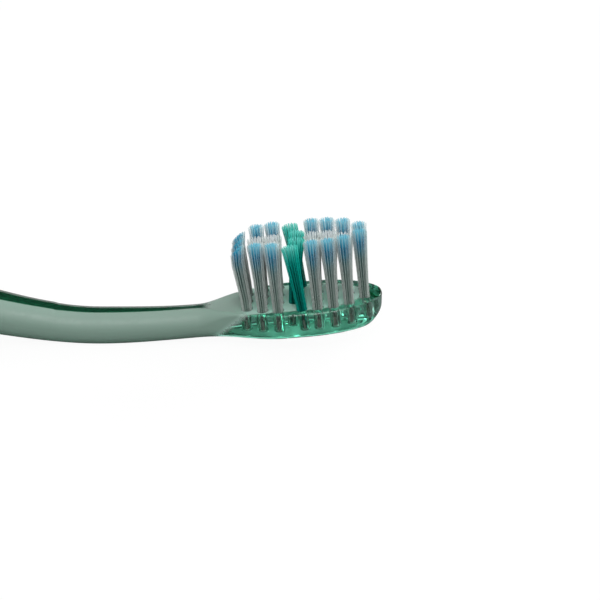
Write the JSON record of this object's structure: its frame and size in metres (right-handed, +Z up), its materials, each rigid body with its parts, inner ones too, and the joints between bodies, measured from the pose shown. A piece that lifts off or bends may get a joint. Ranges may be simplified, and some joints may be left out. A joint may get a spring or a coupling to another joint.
{
  "type": "manual toothbrush",
  "caption": "Manual toothbrush with a clear green one-piece handle, a small oval head, blue-tipped bristle tufts and crossed green tufts.",
  "frame": {"origin": "middle of the brush's footprint, at the height of the table on which it lies on its back", "axes": "+X runs along the brush to the tip of its head, +Y to the left of the brush seen from its tail, +Z up to the ends of the bristles"},
  "size_m": [0.19, 0.0126, 0.0191],
  "materials": {
    "clear_green_plastic": "clear green injection moulding, polished",
    "anchor_metal": "stamped nickel brass strip",
    "indicator_filament": "clear nylon filament with dyed blue ends",
    "plain_filament": "undyed translucent nylon filament",
    "green_filament": "dyed green nylon filament"
  },
  "bodies": {
    "root": {"handle": "clear_green_plastic", "tuft_anchors": "anchor_metal", "heel_tuft_right": "indicator_filament", "heel_tuft_left": "indicator_filament", "heel_tuft_middle": "indicator_filament", "indicator_tuft_2_right": "indicator_filament", "indicator_tuft_2_left": "indicator_filament", "plain_tuft_2_right": "plain_filament", "plain_tuft_2_left": "plain_filament", "indicator_tuft_3_right": "indicator_filament", "indicator_tuft_3_left": "indicator_filament", "plain_tuft_3_right": "plain_filament", "plain_tuft_3_left": "plain_filament", "indicator_tuft_5_right": "indicator_filament", "indicator_tuft_5_left": "indicator_filament", "plain_tuft_5_right": "plain_filament", "plain_tuft_5_left": "plain_filament", "indicator_tuft_6_right": "indicator_filament", "indicator_tuft_6_left": "indicator_filament", "plain_tuft_6_right": "plain_filament", "plain_tuft_6_left": "plain_filament", "crossed_tuft_inner_right": "green_filament", "crossed_tuft_inner_left": "green_filament", "crossed_tuft_outer_right": "green_filament", "crossed_tuft_outer_left": "green_filament", "indicator_tuft_7_right": "indicator_filament", "indicator_tuft_7_left": "indicator_filament", "plain_tuft_7_middle": "plain_filament", "tip_tuft_right": "indicator_filament", "tip_tuft_left": "indicator_filament"}
  },
  "joints": []
}
